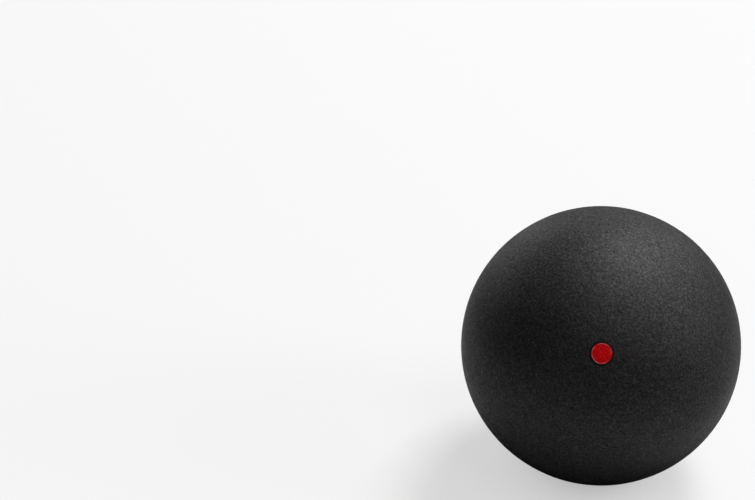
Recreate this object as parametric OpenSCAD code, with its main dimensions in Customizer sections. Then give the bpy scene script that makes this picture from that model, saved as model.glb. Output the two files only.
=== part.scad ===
// Squash ball: two moulded rubber cups, cemented rim to rim, with a printed dot.
// Every piece is a body of revolution about the polar axis, which runs through
// the middle of the dot. The origin is the centre of the ball, with +Z up.

/* [Ball] */
// Diameter of the finished ball
ball_d = 40; // [36:0.5:60]
// Thickness of the moulded rubber wall
wall = 5; // [3:0.25:8]

/* [Cemented joint] */
// Thickness of the cured rubber solution between the two rims
glue_line = 0.2; // [0.1:0.05:0.6]
// Radius that buffing leaves on the inner edge of each rim
lip_r = 0.6; // [0.4:0.1:1.2]
// How far the squeezed-out bead stands out of the inner wall
bead_rise = 0.3; // [0.1:0.05:0.4]

/* [Speed dot] */
// Diameter of the printed dot
dot_d = 3; // [2:0.25:6]
// Thickness of the dried ink
ink = 0.05; // [0.03:0.01:0.1]
// Width of the raised edge that the ink draws up as it dries
edge_w = 0.5; // [0.3:0.05:0.9]
// How far the raised edge stands over the rest of the ink
edge_rise = 0.03; // [0.01:0.01:0.08]
// Angle at which the dot looks up from level, in degrees
dot_lift = 30; // [-90:5:90]

/* [Hidden] */

// Steps round a full turn: of the ball, of the joint's small roundings, and of
// the circles that bound the ink, which is thin beside them
$fn = 120;
small_steps = 32;
ink_steps = 720;

// Reach of a cutting shape beyond what it cuts
overrun = 1;

// The ball's two spheres
outer_r = ball_d / 2;
inner_r = outer_r - wall;

// Each rim lies half a glue line from the middle of the joint
rim_y = glue_line / 2;

// Centre of the rounding on the rim's inner edge. It touches the inner wall
// from outside and the rim from above.
lip_y = rim_y + lip_r;
lip_x = sqrt(pow(inner_r + lip_r, 2) - pow(lip_y, 2));

// The bead is as high as the two roundings and the glue line leave it
bead_r = lip_y;
bead_x = inner_r - bead_rise + bead_r;

// The raised edge of the ink is a low mound. Its section is the top of a circle
// that cuts the ball at the rim of the dot and an edge width further in.
edge_h = ink + edge_rise;
mound_r = (pow(edge_w / 2, 2) + pow(edge_h, 2)) / (2 * edge_h);
mound_depth = mound_r - edge_h;
crest_x = dot_d / 2 - edge_w / 2;
crest_angle = asin(crest_x / outer_r);

// Turn that brings the polar axis from straight up to where the dot looks
tilt = 90 - dot_lift;

// Places the pieces on the polar axis
module on_polar_axis() {
    rotate([tilt, 0, 0])
        rotate_extrude()
            children();
}

// Part of the half plane of the section that lies above a level
module above(level) {
    translate([0, level])
        square(outer_r + overrun);
}

// What buffing takes off the inner edge of a rim
module lip_waste() {
    difference() {
        polygon([[0, 0], [lip_x, rim_y], [lip_x, lip_y]]);
        translate([lip_x, lip_y])
            circle(lip_r, $fn = small_steps);
    }
}

// Section of a half shell, from the rim to the pole
module cup_section() {
    difference() {
        intersection() {
            circle(outer_r);
            above(rim_y);
        }
        circle(inner_r);
        lip_waste();
    }
}

// Section of the cured rubber solution: the glue line, flush with the outside
// of the ball, and the bead, which fills the room between the rounded edges
module adhesive_section() {
    intersection() {
        circle(outer_r);
        translate([bead_x, -rim_y])
            square([outer_r, glue_line]);
    }
    difference() {
        translate([bead_x, 0])
            circle(bead_r, $fn = small_steps);
        cup_section();
        mirror([0, 1])
            cup_section();
    }
}

// Section of the printed ink, thin in the middle and raised at its edge
module ink_section() {
    difference() {
        union() {
            intersection() {
                circle(outer_r + ink, $fn = ink_steps);
                translate([0, inner_r])
                    square([crest_x, outer_r]);
            }
            rotate(-crest_angle)
                translate([0, outer_r - mound_depth])
                    circle(mound_r);
        }
        circle(outer_r, $fn = ink_steps);
    }
}

module front_half_shell() {
    color([0.16, 0.16, 0.16])
        on_polar_axis()
            cup_section();
}

module rear_half_shell() {
    color([0.16, 0.16, 0.16])
        on_polar_axis()
            mirror([0, 1])
                cup_section();
}

module seam_adhesive() {
    color([0.10, 0.09, 0.08])
        on_polar_axis()
            adhesive_section();
}

module speed_dot() {
    color([0.58, 0.02, 0.04])
        on_polar_axis()
            ink_section();
}

front_half_shell();
rear_half_shell();
seam_adhesive();
speed_dot();
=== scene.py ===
"""Looks of a squash ball: matt rubber cups, the cemented joint, the printed dot and a plain studio."""

import math

import bmesh
import bpy
from bpy.props import FloatProperty, FloatVectorProperty, PointerProperty
from mathutils import Matrix, Vector, noise


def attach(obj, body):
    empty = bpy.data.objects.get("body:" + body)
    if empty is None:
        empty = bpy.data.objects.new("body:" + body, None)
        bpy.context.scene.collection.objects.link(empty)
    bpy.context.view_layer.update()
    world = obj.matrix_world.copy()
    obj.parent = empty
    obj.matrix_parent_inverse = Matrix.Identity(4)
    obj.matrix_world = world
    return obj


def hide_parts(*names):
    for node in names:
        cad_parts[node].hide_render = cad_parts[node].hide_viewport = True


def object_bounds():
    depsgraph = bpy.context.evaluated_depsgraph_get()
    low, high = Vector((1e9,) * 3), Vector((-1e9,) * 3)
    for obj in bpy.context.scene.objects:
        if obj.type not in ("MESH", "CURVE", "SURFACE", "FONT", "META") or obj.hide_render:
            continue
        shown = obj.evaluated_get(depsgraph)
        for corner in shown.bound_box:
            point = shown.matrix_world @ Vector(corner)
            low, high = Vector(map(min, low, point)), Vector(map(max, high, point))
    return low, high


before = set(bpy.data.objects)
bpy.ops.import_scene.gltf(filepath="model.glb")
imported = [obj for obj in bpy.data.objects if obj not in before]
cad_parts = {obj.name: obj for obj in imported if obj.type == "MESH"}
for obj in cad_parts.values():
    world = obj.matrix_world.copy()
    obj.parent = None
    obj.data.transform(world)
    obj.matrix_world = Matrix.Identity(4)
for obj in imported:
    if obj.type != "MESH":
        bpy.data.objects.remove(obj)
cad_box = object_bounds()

bl_info = {
    "name": "Squash ball",
    "version": (1, 0, 0),
    "blender": (4, 5, 0),
    "location": "View3D > Sidebar > Squash ball",
    "description": "Models a squash ball in matt rubber, with its cemented joint and printed dot",
    "category": "Add Mesh",
}

MM = 0.001
UP = Vector((0.0, 0.0, 1.0))
CAD_DIAMETER = cad_box[1].x - cad_box[0].x

# The photograph's frame, in which the ball's place is given
FRAME_W = 755.0
FRAME_H = 500.0

# Squares along a cube's edge, for the domes that start as half a cube
OUTER_SQUARES = 156
INNER_SQUARES = 64

# Distances within which a point of the cube lies in the plane that halves it, a point
# lies on the polar axis, and two points of a turned piece are one
ON_PLANE = 1e-5
ON_AXIS = 1e-9
WELD = 1e-7

# Steps in the roundings and round the turned pieces
CORNER_STEPS = 4
LIP_STEPS = 8
BEAD_STEPS = 10
SEAM_TURN_STEPS = 720
DOT_TURN_STEPS = 192
DOT_RINGS = 48

# Depth of the rubber solution's face between the outer edges, as a share of their rounding
FACE_SINK_SHARE = 0.5

# Smaller grains between the grains in the mesh: their width and height as shares of these
SMALL_GRAIN_W_SHARE = 0.55
SMALL_GRAIN_H_SHARE = 0.5

# Share of the outer edge's rounding, from the surface down, that has the grain at full height
BUFFED_SHARE = 0.1

# Span of the grain's height, which runs from 0 to about 1, over which its crests rise
CREST_SPAN = (0.33, 0.95)

# Pits, one at most in each cell of a pattern: the span of a cell's chance number over which
# they deepen, the distances in cells at which a pit's floor ends and its wall ends, and how
# far it sinks in the grain's height
PIT_CHANCE_SPAN = (0.35, 0.65)
PIT_REACH = (0.10, 0.36)
PIT_SINK = 0.6

# Span of the noise over which the patches of handling rise
PATCH_SPAN = (0.35, 0.65)

# Roughness of the rubber outside and inside its patches of handling, and of the other two
# finishes in the hollows and on the crests of the grain
RUBBER_ROUGHNESS = (0.60, 0.68)
SOLUTION_ROUGHNESS = (0.48, 0.62)
INK_ROUGHNESS = (0.50, 0.62)

# Weight of the rubber's thin gloss in the hollows and on the crests of its grain
RUBBER_GLOSS = (0.18, 0.70)

# Height that the grain has in the bump of the rubber and of the ink
RUBBER_BUMP = 0.04 * MM
INK_BUMP = 0.02 * MM

# Width of the ink's own grain, as the scale of its noise
INK_GRAIN_SCALE = 4200.0

# Side of the dot, across and up as one faces it, where the ink has gathered into a ridge that has the
# most painted highlight
HEAVY_SIDE = (-0.62, -0.78, 0.0)

# Strength of the ridge, from 0 to 1: what it has all round, what the heavy side adds, what
# chance adds in patches, how fine these patches are, and the draw that places them
RIDGE_BASE = 0.42
RIDGE_LEAN = 0.35
RIDGE_CHANCE = 0.95
RIDGE_PATCHES = 3.2
RIDGE_DRAW = 36.8

# Shares of the ridge's width, from the rim, at which its inner slope ends and its outer begins
RIDGE_TOP_SHARE = 0.45
RIDGE_FALL_SHARE = 0.35

# Share of the dot's radius from which the ink thins out
RUN_OUT_START = 0.955

# Wobbles of the dot's rim: share of the radius, and how fine each wobble is
WOBBLES = ((0.012, 2.5), (0.006, 9.0))

# Share of the rubber's own unevenness that still shows on top of the ink
SHOW_THROUGH_SHARE = 0.6

# The floor: a disc of this radius, in metres, with so many sides
FLOOR_R = 4.0
FLOOR_SIDES = 96

# Shade of the ball on the floor under it: how fast it falls, and how deep it is
CONTACT_FALL = -7.5
CONTACT_DEPTH = 0.6

# Distances from the point of contact, in metres, between which the light that the floor
# throws back on the ball rises, and between which it falls again
BOUNCE_RISE = (0.017, 0.028)
BOUNCE_FALL = (0.085, 0.110)

# The camera's sensor, in millimetres, and its clipping distances, in metres
SENSOR_W = 36.0
CLIP = (0.01, 20.0)

# Width of a soft box and its distance from the middle of the ball, in metres
BOX_W = 0.45
BOX_DISTANCE = 1.2

# Soft boxes round the ball: name, azimuth and elevation in degrees, power in watts
SOFT_BOXES = (
    ("key_box", 150, 61, 17.2),
    ("right_box", 90, 28, 5.7),
    ("front_box_over", 30, 61, 2.57),
    ("back_box", 150, 18, 1.87),
    ("left_rim_box", 210, 8, 2.6),
    ("left_box", 240, 8, 1.0),
    ("far_rim_box", 180, 8, 0.57),
    ("front_box", 330, 8, 1.0),
)


class BallSizes(bpy.types.PropertyGroup):
    """Sizes of the ball, its joint and its dot"""

    ball_d: FloatProperty(
        name="Ball diameter", description="Diameter of the finished ball",
        default=CAD_DIAMETER, min=0.01, unit="LENGTH")
    wall: FloatProperty(
        name="Wall", description="Thickness of the rubber wall",
        default=5.0 * MM, min=0.001, unit="LENGTH")
    glue_line: FloatProperty(
        name="Glue line", description="Thickness of the cured rubber solution between the rims",
        default=0.2 * MM, min=0.0, unit="LENGTH")
    lip_r: FloatProperty(
        name="Inner edge rounding", description="Radius on the inner edge of each rim",
        default=0.6 * MM, min=0.0, unit="LENGTH")
    corner_r: FloatProperty(
        name="Outer edge rounding",
        description="Radius that the last buffing leaves on the outer edge of each rim",
        default=0.05 * MM, min=0.0, unit="LENGTH")
    bead_rise: FloatProperty(
        name="Bead", description="How far the squeezed-out bead stands out of the inner wall",
        default=0.3 * MM, min=0.0, unit="LENGTH")
    dot_d: FloatProperty(
        name="Dot diameter", description="Diameter of the printed dot without its stain",
        default=2.93 * MM, min=0.0005, unit="LENGTH")
    stain_w: FloatProperty(
        name="Stain width",
        description="How far the last of the ink stains the rubber outside the dot's ridge",
        default=0.08 * MM, min=0.00001, unit="LENGTH")
    stain: FloatProperty(
        name="Stain thickness", description="Thickness of the ink in that stain",
        default=0.008 * MM, min=0.0, unit="LENGTH")
    ink: FloatProperty(
        name="Ink", description="Thickness of the dried ink",
        default=0.03 * MM, min=0.0, unit="LENGTH")
    edge_w: FloatProperty(
        name="Ridge width", description="Width of the ridge that the ink draws up at its rim",
        default=0.22 * MM, min=0.0, unit="LENGTH")
    edge_rise: FloatProperty(
        name="Ridge", description="How far the ridge stands over the rest of the ink",
        default=0.02 * MM, min=0.0, unit="LENGTH")
    # Round the dot the rubber is darker: out to halo_w the grain's crests lose their grey, and a ring
    # ring_w wide beyond the stain is painted with the pits' colour and loses its gloss
    halo_w: FloatProperty(
        name="Solvent ring",
        description="How far round the dot the ink's solvent has washed the grey off the grain's crests",
        default=0.42 * MM, min=0.0, unit="LENGTH")
    ring_w: FloatProperty(
        name="Dark ring",
        description="Width of the dark ring that the solvent leaves close to the ink",
        default=0.26 * MM, min=0.0, unit="LENGTH")
    dot_lift: FloatProperty(
        name="Dot lift", description="How far the dot looks up from level",
        default=math.radians(30.0), unit="ROTATION")
    grain_size: FloatProperty(
        name="Grain size", description="Width of the grains that buffing leaves on the rubber",
        default=0.42 * MM, min=0.00005, unit="LENGTH")
    grain_depth: FloatProperty(
        name="Grain depth", description="Height of the grains over the hollows between them",
        default=0.012 * MM, min=0.0, unit="LENGTH")
    wave_size: FloatProperty(
        name="Wave size", description="Width of the shallow waves that moulding leaves",
        default=7.0 * MM, min=0.001, unit="LENGTH")
    wave_depth: FloatProperty(
        name="Wave depth", description="Height of the shallow waves",
        default=0.02 * MM, min=0.0, unit="LENGTH")


class BallColours(bpy.types.PropertyGroup):
    """Colours of the rubber, the rubber solution and the ink"""

    rubber: FloatVectorProperty(
        name="Rubber", description="Black rubber in the hollows of its grain",
        default=(0.0073, 0.0073, 0.0076), subtype="COLOR", min=0.0, max=1.0)
    bloom: FloatVectorProperty(
        name="Bloom", description="Greyer rubber on the crests of the grain",
        default=(0.0243, 0.0243, 0.0243), subtype="COLOR", min=0.0, max=1.0)
    # Painted shade: the bottoms of the pits are painted this near-black to stand for the shade in them;
    # the darker ring round the dot takes this colour too
    pit: FloatVectorProperty(
        name="Pit", description="Dark bottom of the pits in the rubber",
        default=(0.0015, 0.0015, 0.0015), subtype="COLOR", min=0.0, max=1.0)
    solution: FloatVectorProperty(
        name="Rubber solution", description="Cured rubber solution in the joint",
        default=(0.006, 0.0055, 0.005), subtype="COLOR", min=0.0, max=1.0)
    ink: FloatVectorProperty(
        name="Ink", description="Red ink of the dot",
        default=(0.92, 0.010, 0.016), subtype="COLOR", min=0.0, max=1.0)
    thin_ink: FloatVectorProperty(
        name="Thin ink", description="Ink where it lies thin over the grain",
        default=(0.52, 0.0005, 0.001), subtype="COLOR", min=0.0, max=1.0)
    # Painted highlight: paler ink on the ridge, standing for the light that the raised rim catches
    painted_ridge_highlight: FloatVectorProperty(
        name="Ink ridge", description="Paler ink on the ridge",
        default=(0.58, 0.165, 0.20), subtype="COLOR", min=0.0, max=1.0)
    stained: FloatVectorProperty(
        name="Stain", description="Rubber that the last of the ink stains",
        default=(0.035, 0.001, 0.001), subtype="COLOR", min=0.0, max=1.0)
    floor: FloatVectorProperty(
        name="Floor",
        description="Tone of the pale floor under the soft boxes, as the camera sees it",
        default=(0.22, 0.22, 0.22), subtype="COLOR", min=0.0, max=1.0)
    floor_fill: FloatVectorProperty(
        name="Floor fill",
        description="Even light that the camera sees on the floor and the wall behind it",
        default=(0.63, 0.63, 0.63), subtype="COLOR", min=0.0, max=1.0)
    floor_bounce: FloatVectorProperty(
        name="Floor bounce",
        description="Tone of the floor for the light that it throws back on the ball",
        default=(0.56, 0.56, 0.56), subtype="COLOR", min=0.0, max=1.0)


class StudioView(bpy.types.PropertyGroup):
    """Where the camera stands"""

    lens: FloatProperty(
        name="Lens", description="Focal length on a sensor 36 mm wide",
        default=158.71, min=10.0, unit="CAMERA")
    distance: FloatProperty(
        name="Distance", description="From the camera to the middle of the ball",
        default=0.47806, min=0.05, unit="LENGTH")
    azimuth: FloatProperty(
        name="Azimuth", description="Turn of the camera round the ball from straight in front",
        default=math.radians(-0.80), unit="ROTATION")
    elevation: FloatProperty(
        name="Elevation", description="Height of the camera over the ball, as an angle",
        default=math.radians(33.09), unit="ROTATION")
    roll: FloatProperty(
        name="Roll", description="Lean of the picture, seen at the ball",
        default=math.radians(5.296), unit="ROTATION")
    ball_x: FloatProperty(
        name="Ball across",
        description="Place of the ball's middle in a frame of 755 by 500 pixels, from the left",
        default=600.71)
    ball_y: FloatProperty(
        name="Ball down",
        description="Place of the ball's middle in a frame of 755 by 500 pixels, from the top",
        default=345.63)


# Moulded forms

def even_angles(point):
    """Point of a cube moved to the unit sphere so that the squares come out alike."""
    return Vector([math.tan(c * math.pi / 4) for c in point]).normalized()


def dome(radius, squares, rim_angle):
    """Dome of even quads with its pole up. rim_angle is the angle from the pole to the rim."""
    bm = bmesh.new()
    bmesh.ops.create_cube(bm, size=2.0)
    bmesh.ops.subdivide_edges(bm, edges=bm.edges[:], cuts=squares - 1, use_grid_fill=True)
    everything = bm.verts[:] + bm.edges[:] + bm.faces[:]
    bmesh.ops.bisect_plane(
        bm, geom=everything, dist=ON_PLANE, plane_co=(0, 0, 0), plane_no=UP, clear_inner=True)
    share = rim_angle / (math.pi / 2)
    for vert in bm.verts:
        way = even_angles(vert.co)
        angle = UP.angle(way) * share
        level = Vector((way.x, way.y, 0.0))
        if level.length > ON_AXIS:
            level.normalize()
        vert.co = (level * math.sin(angle) + UP * math.cos(angle)) * radius
    return bm


def draw_rings(bm, ring, section):
    """Extrudes a level ring of edges through the (radius, height) points of a section."""
    for radius, height in section:
        made = bmesh.ops.extrude_edge_only(bm, edges=ring)["geom"]
        verts = {item for item in made if isinstance(item, bmesh.types.BMVert)}
        ring = [e for e in made if isinstance(e, bmesh.types.BMEdge) and verts.issuperset(e.verts)]
        old = next(iter(verts)).co
        grow = radius / math.hypot(old.x, old.y)
        rise = height - old.z
        bmesh.ops.scale(bm, vec=(grow, grow, 1.0), verts=list(verts))
        bmesh.ops.translate(bm, vec=(0.0, 0.0, rise), verts=list(verts))
    return ring


def arc(centre, radius, start, end, steps):
    """Points of an arc in the section, without its first point."""
    turn = (end - start) / steps
    angles = [start + turn * i for i in range(1, steps + 1)]
    return [(centre[0] + radius * math.cos(a), centre[1] + radius * math.sin(a)) for a in angles]


def boundary(bm):
    """Edges with a face on one side only."""
    return [e for e in bm.edges if e.is_boundary]


class JointSection:
    """Places of the roundings beside the joint, in the section of the ball."""

    def __init__(self, sizes):
        self.outer_r = sizes.ball_d / 2
        self.inner_r = self.outer_r - sizes.wall
        self.rim = sizes.glue_line / 2
        self.corner_r = sizes.corner_r
        self.lip_r = sizes.lip_r
        corner_y = self.rim + self.corner_r
        lip_y = self.rim + self.lip_r
        self.corner = (math.sqrt((self.outer_r - self.corner_r) ** 2 - corner_y ** 2), corner_y)
        self.lip = (math.sqrt((self.inner_r + self.lip_r) ** 2 - lip_y ** 2), lip_y)
        self.bead_r = lip_y
        self.bead_x = self.inner_r - sizes.bead_rise + self.bead_r

    def corner_rise(self):
        """Angle over the rim's plane at which the outer rounding meets the ball."""
        return math.atan2(self.corner[1], self.corner[0])

    def lip_rise(self):
        """The same for the inner rounding and the inner wall."""
        return math.atan2(self.lip[1], self.lip[0])


def cup(sizes):
    """Half shell with its pole up: outer dome, rounded rim, rounded lip and inner wall, closed."""
    joint = JointSection(sizes)
    outside = dome(joint.outer_r, OUTER_SQUARES, math.pi / 2 - joint.corner_rise())
    rounding = arc(joint.corner, joint.corner_r, joint.corner_rise(), -math.pi / 2, CORNER_STEPS)
    draw_rings(outside, boundary(outside), rounding)
    inside = dome(joint.inner_r, INNER_SQUARES, math.pi / 2 - joint.lip_rise())
    rounding = arc(joint.lip, joint.lip_r, math.pi + joint.lip_rise(), math.pi * 3 / 2, LIP_STEPS)
    draw_rings(inside, boundary(inside), rounding)
    # The two edges would lie in one plane, in which bridge_loops can't tell their
    # turning senses apart, so the inner wall is raised until they are joined.
    raised = Vector((0.0, 0.0, sizes.wall))
    bmesh.ops.translate(inside, vec=raised, verts=inside.verts[:])
    loose = bpy.data.meshes.new("inner_wall")
    inside.to_mesh(loose)
    inside.free()
    outer_verts = set(outside.verts)
    outside.from_mesh(loose)
    bpy.data.meshes.remove(loose)
    bmesh.ops.bridge_loops(outside, edges=boundary(outside))
    inner_verts = [vert for vert in outside.verts if vert not in outer_verts]
    bmesh.ops.translate(outside, vec=-raised, verts=inner_verts)
    bmesh.ops.recalc_face_normals(outside, faces=outside.faces[:])
    return outside


def attitude(sizes):
    """Turn that brings the polar axis from straight up to where the dot looks."""
    return Matrix.Rotation(math.pi / 2 - sizes.dot_lift, 4, "X")


# Surface of the rubber

def smooth_step(low, high, value):
    """Rises softly from 0 at low to 1 at high."""
    share = min(max((value - low) / (high - low), 0.0), 1.0)
    return share * share * (3.0 - 2.0 * share)


def grain_height(point, sizes):
    """Height of the buffed rubber over the true sphere: fine grains on shallow waves."""
    small = noise.noise(point / (sizes.grain_size * SMALL_GRAIN_W_SHARE))
    grain = noise.noise(point / sizes.grain_size) + SMALL_GRAIN_H_SHARE * small
    wave = noise.noise(point / sizes.wave_size)
    return grain * sizes.grain_depth + wave * sizes.wave_depth


def buff(bm, sizes):
    """Gives the outside of a finished piece the grain of the buffed rubber."""
    outer_r = sizes.ball_d / 2
    bare_r = outer_r - sizes.corner_r
    buffed_r = outer_r - sizes.corner_r * BUFFED_SHARE
    for vert in bm.verts:
        share = smooth_step(bare_r, buffed_r, vert.co.length)
        if share > 0.0:
            vert.co += vert.co.normalized() * (grain_height(vert.co, sizes) * share)


# Materials

def tree_of(material):
    """Empty node tree of a material, with a Principled BSDF on its output."""
    material.use_nodes = True
    tree = material.node_tree
    tree.nodes.clear()
    shader = tree.nodes.new("ShaderNodeBsdfPrincipled")
    output = tree.nodes.new("ShaderNodeOutputMaterial")
    tree.links.new(shader.outputs["BSDF"], output.inputs["Surface"])
    return tree, shader


def add(tree, kind, inputs=None, **settings):
    """Adds a node, sets its properties, and sets or links its inputs."""
    node = tree.nodes.new(kind)
    for name, value in settings.items():
        setattr(node, name, value)
    for name, value in (inputs or {}).items():
        socket = node.inputs[name]
        if isinstance(value, bpy.types.NodeSocket):
            tree.links.new(value, socket)
        else:
            socket.default_value = value
    return node


def maths(tree, operation, *values):
    """Result of a Math node."""
    return add(tree, "ShaderNodeMath", dict(enumerate(values)), operation=operation).outputs[0]


def distance(tree, place, point):
    """Distance of a place on the surface from a fixed point."""
    node = add(tree, "ShaderNodeVectorMath", {0: place, 1: point}, operation="DISTANCE")
    return node.outputs["Value"]


def ranged(tree, value, span, ends, smooth=False):
    """Value that goes from one end to the other while the given value goes through a span."""
    node = add(tree, "ShaderNodeMapRange", {
        "Value": value, "From Min": span[0], "From Max": span[1], "To Min": ends[0], "To Max": ends[1]})
    if smooth:
        node.interpolation_type = "SMOOTHSTEP"
    return node.outputs["Result"]


def new_group(name, inputs, outputs):
    """Node group with float inputs of the given defaults and the given outputs."""
    group = bpy.data.node_groups.new(name, "ShaderNodeTree")
    for label, value in inputs.items():
        socket = group.interface.new_socket(name=label, in_out="INPUT", socket_type="NodeSocketFloat")
        socket.default_value = value
    for label in outputs:
        group.interface.new_socket(name=label, in_out="OUTPUT", socket_type="NodeSocketFloat")
    return group, group.nodes.new("NodeGroupInput"), group.nodes.new("NodeGroupOutput")


def buffed_grain_group():
    """Grain of buffed rubber: a height for a bump, and masks of its crests and of its pits."""
    group, given, out = new_group(
        "buffed_grain",
        {"Grain scale": 3700.0, "Mottle scale": 900.0, "Mottle share": 0.26, "Crest sharpness": 1.7,
         "Pit scale": 1850.0, "Pit depth": 1.0},
        ["Height", "Crests", "Pits"])
    place = add(group, "ShaderNodeTexCoord").outputs["Object"]
    grain = add(group, "ShaderNodeTexNoise", {
        "Vector": place, "Scale": given.outputs["Grain scale"], "Detail": 0.0})
    mottle = add(group, "ShaderNodeTexNoise", {
        "Vector": place, "Scale": given.outputs["Mottle scale"], "Detail": 1.0, "Roughness": 1.0})
    part = maths(group, "MULTIPLY", mottle.outputs["Fac"], given.outputs["Mottle share"])
    height = maths(group, "ADD", grain.outputs["Fac"], part)
    crests = ranged(group, height, CREST_SPAN, (0.0, 1.0))
    sharp = maths(group, "POWER", crests, given.outputs["Crest sharpness"])
    cells = add(group, "ShaderNodeTexVoronoi", {"Vector": place, "Scale": given.outputs["Pit scale"]})
    depth = ranged(group, cells.outputs["Color"], PIT_CHANCE_SPAN, (0.0, given.outputs["Pit depth"]))
    pits = ranged(group, cells.outputs["Distance"], PIT_REACH, (depth, 0.0), smooth=True)
    sunk = maths(group, "MULTIPLY_ADD", pits, -PIT_SINK, height)
    group.links.new(sunk, out.inputs["Height"])
    group.links.new(sharp, out.inputs["Crests"])
    group.links.new(pits, out.inputs["Pits"])
    return group


def handling_group():
    """Broad, faint patches where the ball has been handled, as a mask."""
    group, given, out = new_group("handling", {"Patch scale": 160.0}, ["Patches"])
    place = add(group, "ShaderNodeTexCoord").outputs["Object"]
    patches = add(group, "ShaderNodeTexNoise", {
        "Vector": place, "Scale": given.outputs["Patch scale"], "Detail": 4.0, "Roughness": 0.6})
    mask = ranged(group, patches.outputs["Fac"], PATCH_SPAN, (0.0, 1.0))
    group.links.new(mask, out.inputs["Patches"])
    return group


def place_group(tree, group, **values):
    """Places a group with its own values, named like its inputs."""
    node = add(tree, "ShaderNodeGroup", node_tree=group)
    for name, value in values.items():
        node.inputs[name.replace("_", " ").capitalize()].default_value = value
    return node


def shared_group(name, maker):
    """The node group of that name, made the first time that a material asks for it."""
    return bpy.data.node_groups.get(name) or maker()


def colour_mix(tree, mask, low, high):
    """Colour that goes from low to high with a mask. Both may be colours or sockets."""
    mix = add(tree, "ShaderNodeMix", data_type="RGBA")
    tree.links.new(mask, mix.inputs["Factor"])
    for socket, value in zip([s for s in mix.inputs if s.type == "RGBA"], (low, high)):
        if isinstance(value, bpy.types.NodeSocket):
            tree.links.new(value, socket)
        else:
            socket.default_value = (*value, 1.0)
    return next(s for s in mix.outputs if s.type == "RGBA")


def rubber_material(scene):
    """Matt rubber, whose grain shows in tone, gloss and bump, with painted shade in its pits. Round the
    dot, a ring of it is darker.
    """
    colours, sizes = scene.ball_colours, scene.ball_sizes
    material = bpy.data.materials.new("buffed_black_rubber")
    tree, shader = tree_of(material)
    grain = place_group(tree, shared_group("buffed_grain", buffed_grain_group))
    handling = place_group(tree, shared_group("handling", handling_group))
    place = add(tree, "ShaderNodeTexCoord").outputs["Object"]
    dot_middle = attitude(sizes) @ UP * (sizes.ball_d / 2)
    away = distance(tree, place, dot_middle)
    dot_r = sizes.dot_d / 2
    film_r = dot_r + sizes.stain_w
    crest_rise_from_dot = ranged(tree, away, (dot_r, dot_r + sizes.halo_w), (0.0, 1.0), smooth=True)
    ring = ranged(tree, away, (film_r, film_r + sizes.ring_w), (1.0, 0.0), smooth=True)
    crests = maths(tree, "MULTIPLY", grain.outputs["Crests"], crest_rise_from_dot)
    # Painted shade in the pits, and the darker ring close to the ink: both take the pit colour and lose
    # their gloss
    dark = maths(tree, "MAXIMUM", grain.outputs["Pits"], ring)
    tone = colour_mix(tree, crests, colours.rubber, colours.bloom)
    tone = colour_mix(tree, dark, tone, colours.pit)
    tree.links.new(tone, shader.inputs["Base Color"])
    rough = ranged(tree, handling.outputs["Patches"], (0.0, 1.0), RUBBER_ROUGHNESS)
    tree.links.new(rough, shader.inputs["Roughness"])
    gloss = ranged(tree, crests, (0.0, 1.0), RUBBER_GLOSS)
    coat = ranged(tree, dark, (0.0, 1.0), (gloss, 0.0))
    tree.links.new(coat, shader.inputs["Coat Weight"])
    bump = add(tree, "ShaderNodeBump", {
        "Height": grain.outputs["Height"], "Strength": 1.0, "Distance": RUBBER_BUMP})
    tree.links.new(bump.outputs["Normal"], shader.inputs["Normal"])
    shader.inputs["Specular IOR Level"].default_value = 0.12
    shader.inputs["Coat Roughness"].default_value = 0.62
    shader.inputs["Coat IOR"].default_value = 1.5
    return material


def solution_material(scene):
    """Cured rubber solution, a little browner and smoother than the rubber."""
    colours = scene.ball_colours
    material = bpy.data.materials.new("cured_rubber_solution")
    tree, shader = tree_of(material)
    crests = place_group(tree, shared_group("buffed_grain", buffed_grain_group)).outputs["Crests"]
    tone = colour_mix(tree, crests, colours.solution, colours.rubber)
    tree.links.new(tone, shader.inputs["Base Color"])
    rough = ranged(tree, crests, (0.0, 1.0), SOLUTION_ROUGHNESS)
    tree.links.new(rough, shader.inputs["Roughness"])
    shader.inputs["Specular IOR Level"].default_value = 0.25
    return material


def ink_material(scene):
    """Red ink, mottled by the grain under it, with a painted highlight on its ridge and dark where it
    runs out.
    """
    colours = scene.ball_colours
    material = bpy.data.materials.new("printed_red_ink")
    tree, shader = tree_of(material)
    grain = place_group(
        tree, shared_group("buffed_grain", buffed_grain_group),
        grain_scale=INK_GRAIN_SCALE, pit_depth=0.0)
    ridge = add(tree, "ShaderNodeAttribute", attribute_name="ridge").outputs["Fac"]
    run_out = add(tree, "ShaderNodeAttribute", attribute_name="run_out").outputs["Fac"]
    tone = colour_mix(tree, grain.outputs["Crests"], colours.thin_ink, colours.ink)
    # Painted highlight: the ridge is painted paler, most on the heavy side
    tone = colour_mix(tree, ridge, tone, colours.painted_ridge_highlight)
    tone = colour_mix(tree, run_out, tone, colours.stained)
    tree.links.new(tone, shader.inputs["Base Color"])
    rough = ranged(tree, grain.outputs["Crests"], (0.0, 1.0), INK_ROUGHNESS)
    tree.links.new(rough, shader.inputs["Roughness"])
    bump = add(tree, "ShaderNodeBump", {
        "Height": grain.outputs["Height"], "Strength": 1.0, "Distance": INK_BUMP})
    tree.links.new(bump.outputs["Normal"], shader.inputs["Normal"])
    shader.inputs["Specular IOR Level"].default_value = 0.06
    return material


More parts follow.
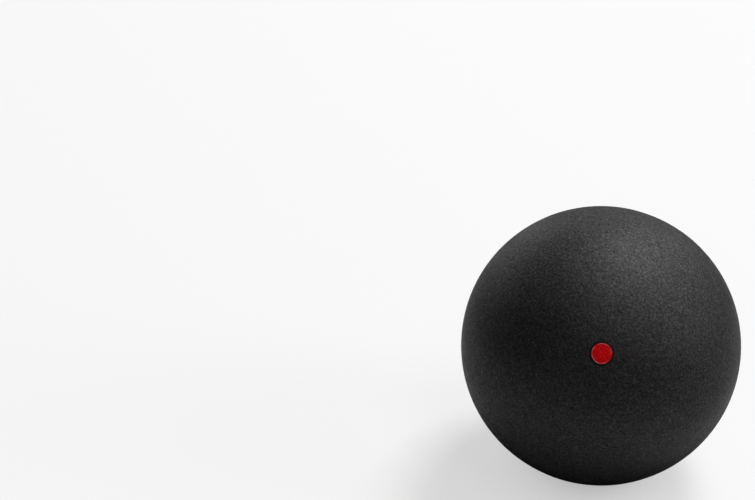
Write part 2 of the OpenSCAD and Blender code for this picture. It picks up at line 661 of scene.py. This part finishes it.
def floor_material(scene):
    """Pale floor, which looks one way to the camera and lights the ball in another.

    The camera sees it filled with even light, which the ball keeps from the floor
    beneath it: the share that is kept falls with the distance d from the point of
    contact as (1 + (d / r) ** 2) to a negative power. The ball gets none of that fill.
    It gets what the soft boxes throw on a ring round the point of contact.
    """
    colours = scene.ball_colours
    material = bpy.data.materials.new("pale_floor")
    tree, shader = tree_of(material)
    seen = add(tree, "ShaderNodeLightPath").outputs["Is Camera Ray"]
    place = add(tree, "ShaderNodeTexCoord").outputs["Object"]
    ball_r = scene.ball_sizes.ball_d / 2
    away = distance(tree, place, -UP * ball_r)
    rise = ranged(tree, away, BOUNCE_RISE, (0.0, 1.0), smooth=True)
    ring = ranged(tree, away, BOUNCE_FALL, (rise, 0.0), smooth=True)
    bounce = colour_mix(tree, ring, (0.0, 0.0, 0.0), colours.floor_bounce)
    tone = colour_mix(tree, seen, bounce, colours.floor)
    tree.links.new(tone, shader.inputs["Base Color"])
    radii = maths(tree, "DIVIDE", away, ball_r)
    spread = maths(tree, "MULTIPLY_ADD", radii, radii, 1.0)
    kept = maths(tree, "POWER", spread, CONTACT_FALL)
    open_share = ranged(tree, kept, (0.0, 1.0), (1.0, 1.0 - CONTACT_DEPTH))
    lit = maths(tree, "MULTIPLY", seen, open_share)
    fill = colour_mix(tree, lit, (0.0, 0.0, 0.0), colours.floor_fill)
    tree.links.new(fill, shader.inputs["Emission Color"])
    shader.inputs["Emission Strength"].default_value = 1.0
    shader.inputs["Roughness"].default_value = 0.9
    shader.inputs["Specular IOR Level"].default_value = 0.0
    return material


def finish_of(name, maker):
    """The material of that name, made the first time that a piece asks for it."""
    return bpy.data.materials.get(name) or maker(bpy.context.scene)


# Pieces

def new_piece(name, bm, material):
    """Makes an object of a finished bmesh, smooth shaded, at the origin."""
    for face in bm.faces:
        face.smooth = True
    mesh = bpy.data.meshes.new(name)
    bm.to_mesh(mesh)
    bm.free()
    mesh.materials.append(material)
    piece = bpy.data.objects.new(name, mesh)
    bpy.context.scene.collection.objects.link(piece)
    return piece


def settle(piece, node):
    """Ties a piece to the frame's root body and hides the CAD part that it stands for."""
    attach(piece, "root")
    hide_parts(node)


def seam_section(sizes):
    """Closed section of the rubber solution in the joint, as (radius, height) points."""
    joint = JointSection(sizes)
    face_x = joint.outer_r - joint.corner_r * FACE_SINK_SHARE
    face_y = joint.corner[1] - math.sqrt(joint.corner_r ** 2 - (face_x - joint.corner[0]) ** 2)
    gap = joint.bead_x - joint.lip[0]
    apart = math.hypot(gap, joint.lip[1])
    along = (apart ** 2 + joint.bead_r ** 2 - joint.lip_r ** 2) / (2 * apart)
    turn = math.atan2(joint.lip[1], -gap) + math.acos(along / joint.bead_r)
    meet = (joint.bead_x + joint.bead_r * math.cos(turn), joint.bead_r * math.sin(turn))
    lip_end = math.atan2(meet[1] - joint.lip[1], meet[0] - joint.lip[0]) % (2 * math.pi)
    upper = [(face_x, 0.0), (face_x, face_y), (joint.corner[0], joint.rim), (joint.lip[0], joint.rim)]
    upper += arc(joint.lip, joint.lip_r, math.pi * 3 / 2, lip_end, LIP_STEPS)
    upper += arc((joint.bead_x, 0.0), joint.bead_r, turn, math.pi, BEAD_STEPS)
    lower = [(x, -y) for x, y in reversed(upper[1:-1])]
    return upper + lower


def turned(section, steps):
    """Solid of revolution about the polar axis from a section of (radius, height) points."""
    bm = bmesh.new()
    verts = [bm.verts.new((x, 0.0, y)) for x, y in section]
    edges = [bm.edges.new((a, b)) for a, b in zip(verts, verts[1:])]
    if section[0][0] > 0.0:
        edges.append(bm.edges.new((verts[-1], verts[0])))
    bmesh.ops.spin(
        bm, geom=verts + edges, cent=(0, 0, 0), axis=UP, angle=math.tau, steps=steps, use_merge=True)
    bmesh.ops.remove_doubles(bm, verts=bm.verts[:], dist=WELD)
    bmesh.ops.recalc_face_normals(bm, faces=bm.faces[:])
    return bm


class SQUASHBALL_OT_half_shells(bpy.types.Operator):
    """Model the front and the rear half shell of matt rubber"""

    bl_idname = "squashball.half_shells"
    bl_label = "Rubber half shells"

    def execute(self, context):
        sizes = context.scene.ball_sizes
        material = finish_of("buffed_black_rubber", rubber_material)
        for side, node in ((1.0, "front_half_shell"), (-1.0, "rear_half_shell")):
            bm = cup(sizes)
            if side < 0.0:
                bmesh.ops.scale(bm, vec=(1.0, 1.0, side), verts=bm.verts[:])
                bmesh.ops.recalc_face_normals(bm, faces=bm.faces[:])
            bmesh.ops.transform(bm, matrix=attitude(sizes), verts=bm.verts[:])
            buff(bm, sizes)
            piece = new_piece(node + "_rubber", bm, material)
            settle(piece, node)
        return {"FINISHED"}


class SQUASHBALL_OT_seam_adhesive(bpy.types.Operator):
    """Model the ring of cured rubber solution in the joint"""

    bl_idname = "squashball.seam_adhesive"
    bl_label = "Rubber solution in the joint"

    def execute(self, context):
        sizes = context.scene.ball_sizes
        bm = turned(seam_section(sizes), SEAM_TURN_STEPS)
        bmesh.ops.transform(bm, matrix=attitude(sizes), verts=bm.verts[:])
        material = finish_of("cured_rubber_solution", solution_material)
        piece = new_piece("seam_adhesive_ring", bm, material)
        settle(piece, "seam_adhesive")
        return {"FINISHED"}


def ink_height(share, lean, sizes):
    """Height of the ink over the rubber, and how far it belongs to the ridge.

    share is 0 in the middle of the dot and 1 at its rim. lean is the ridge's strength.
    """
    band = sizes.edge_w / (sizes.dot_d / 2)
    swell = smooth_step(1.0 - band, 1.0 - band * RIDGE_TOP_SHARE, share) * lean
    fall = math.sqrt(max(0.0, 1.0 - smooth_step(1.0 - band * RIDGE_FALL_SHARE, 1.0, share)))
    return (sizes.ink + sizes.edge_rise * swell) * fall, swell


def ridge_strength(level):
    """Strength of the ridge in a level direction from the middle of the dot, from 0 to 1."""
    heavy = level.dot(Vector(HEAVY_SIDE).normalized())
    chance = noise.noise(level * RIDGE_PATCHES + UP * RIDGE_DRAW)
    strength = RIDGE_BASE + RIDGE_LEAN * heavy + RIDGE_CHANCE * chance
    return min(max(strength, 0.0), 1.0)


class SQUASHBALL_OT_speed_dot(bpy.types.Operator):
    """Model the printed dot as a film of ink with a raised edge"""

    bl_idname = "squashball.speed_dot"
    bl_label = "Printed dot"

    def execute(self, context):
        sizes = context.scene.ball_sizes
        radius = sizes.dot_d / 2
        ball_r = sizes.ball_d / 2
        film_r = radius + sizes.stain_w
        across = [film_r * i / DOT_RINGS for i in range(DOT_RINGS + 1)]
        section = [(x, radius) for x in across] + [(x, 0.0) for x in reversed(across)]
        bm = turned(section, DOT_TURN_STEPS)
        # The ridge layer also sets the painted highlight in the ink's material
        ridge = bm.verts.layers.float.new("ridge")
        run_out = bm.verts.layers.float.new("run_out")
        turn = attitude(sizes)
        for vert in bm.verts:
            on_top = vert.co.z > radius / 2
            level = Vector((vert.co.x, vert.co.y, 0.0))
            level_r = level.length
            share = level_r / radius
            if share > 1e-6:
                level.normalize()
            wobble = sum(size * noise.noise(level * fineness) for size, fineness in WOBBLES)
            ragged = 1.0 + share * wobble
            angle = share * ragged * radius / ball_r
            way = turn @ (level * math.sin(angle) + UP * math.cos(angle))
            cover, vert[ridge] = ink_height(share, ridge_strength(level), sizes)
            vert[run_out] = smooth_step(RUN_OUT_START, 1.0, share)
            ground = grain_height(way * ball_r, sizes)
            stain = sizes.stain * (1.0 - smooth_step(radius, film_r, level_r))
            over = max(ground * SHOW_THROUGH_SHARE + cover, ground + stain)
            vert.co = way * (ball_r + (over if on_top else ground - sizes.ink))
        piece = new_piece("speed_dot_film", bm, finish_of("printed_red_ink", ink_material))
        settle(piece, "speed_dot")
        return {"FINISHED"}


# Studio

def direction(azimuth, elevation):
    """Way from the ball at an azimuth, 0 in front and a quarter turn to the right, and an elevation."""
    out = math.cos(elevation)
    return Vector((math.sin(azimuth) * out, -math.cos(azimuth) * out, math.sin(elevation)))


def soft_box(name, azimuth, elevation, power):
    """Area light that looks at the ball, from angles in degrees."""
    way = direction(math.radians(azimuth), math.radians(elevation))
    light = bpy.data.lights.new(name, "AREA")
    light.shape = "RECTANGLE"
    light.size = BOX_W
    light.size_y = BOX_W
    light.energy = power
    lamp = bpy.data.objects.new(name, light)
    lamp.visible_camera = False
    lamp.location = way * BOX_DISTANCE
    lamp.rotation_mode = "QUATERNION"
    lamp.rotation_quaternion = (-way).to_track_quat("-Z", "Y")
    bpy.context.scene.collection.objects.link(lamp)


def studio_air(colours):
    """World that the camera sees as a plain pale wall behind the floor. It throws no light."""
    world = bpy.data.worlds.new("studio_air")
    world.use_nodes = True
    tree = world.node_tree
    seen = add(tree, "ShaderNodeLightPath").outputs["Is Camera Ray"]
    tree.links.new(seen, tree.nodes["Background"].inputs["Strength"])
    tree.nodes["Background"].inputs["Color"].default_value = (*colours.floor_fill, 1.0)
    return world


def stand_camera(view):
    """Camera that sees the ball at its place in the picture."""
    data = bpy.data.cameras.new("camera")
    data.sensor_width = SENSOR_W
    data.lens = view.lens
    data.clip_start, data.clip_end = CLIP
    camera = bpy.data.objects.new("camera", data)
    way = direction(view.azimuth, view.elevation)
    camera.location = way * view.distance
    reach = view.lens / SENSOR_W * FRAME_W
    to_ball = Vector((view.ball_x - FRAME_W / 2, FRAME_H / 2 - view.ball_y, -reach)).normalized()
    aside = Vector((0.0, 0.0, -1.0)).rotation_difference(to_ball)
    look = (-way).to_track_quat("-Z", "Y")
    lean = Matrix.Rotation(view.roll, 3, "Z").to_quaternion()
    camera.rotation_mode = "QUATERNION"
    camera.rotation_quaternion = look @ lean @ aside.inverted()
    bpy.context.scene.collection.objects.link(camera)
    bpy.context.scene.camera = camera


class SQUASHBALL_OT_studio(bpy.types.Operator):
    """Set up the pale floor, the soft lights and the camera"""

    bl_idname = "squashball.studio"
    bl_label = "Studio"

    def execute(self, context):
        scene = context.scene
        bm = bmesh.new()
        bmesh.ops.create_circle(bm, cap_ends=True, segments=FLOOR_SIDES, radius=FLOOR_R)
        bmesh.ops.translate(bm, vec=(0.0, 0.0, -scene.ball_sizes.ball_d / 2), verts=bm.verts[:])
        floor = new_piece("floor", bm, finish_of("pale_floor", floor_material))
        for name, azimuth, elevation, power in SOFT_BOXES:
            soft_box(name, azimuth, elevation, power)
        scene.world = studio_air(scene.ball_colours)
        scene.view_settings.view_transform = "Standard"
        stand_camera(scene.studio_view)
        return {"FINISHED"}


# Panel and registration

class SQUASHBALL_PT_tools(bpy.types.Panel):
    """Steps and sizes of the squash ball"""

    bl_idname = "SQUASHBALL_PT_tools"
    bl_label = "Squash ball"
    bl_space_type = "VIEW_3D"
    bl_region_type = "UI"
    bl_category = "Squash ball"

    def draw(self, context):
        for step in STEPS:
            self.layout.operator(step.bl_idname)
        for kept_as, kind in GROUPS.items():
            box = self.layout.box()
            for name in kind.__annotations__:
                box.prop(getattr(context.scene, kept_as), name)


STEPS = (
    SQUASHBALL_OT_half_shells,
    SQUASHBALL_OT_seam_adhesive,
    SQUASHBALL_OT_speed_dot,
    SQUASHBALL_OT_studio,
)
GROUPS = {"ball_sizes": BallSizes, "ball_colours": BallColours, "studio_view": StudioView}


def register():
    """Registers the classes and puts the settings on the scene."""
    for cls in (*GROUPS.values(), *STEPS, SQUASHBALL_PT_tools):
        bpy.utils.register_class(cls)
    for name, group in GROUPS.items():
        setattr(bpy.types.Scene, name, PointerProperty(type=group))


def unregister():
    """Takes the settings off the scene and unregisters the classes."""
    for name in GROUPS:
        delattr(bpy.types.Scene, name)
    for cls in reversed((*GROUPS.values(), *STEPS, SQUASHBALL_PT_tools)):
        bpy.utils.unregister_class(cls)


def main():
    """Registers the classes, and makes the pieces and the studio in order."""
    register()
    bpy.ops.squashball.half_shells()
    bpy.ops.squashball.seam_adhesive()
    bpy.ops.squashball.speed_dot()
    bpy.ops.squashball.studio()


if __name__ == "__main__":
    main()
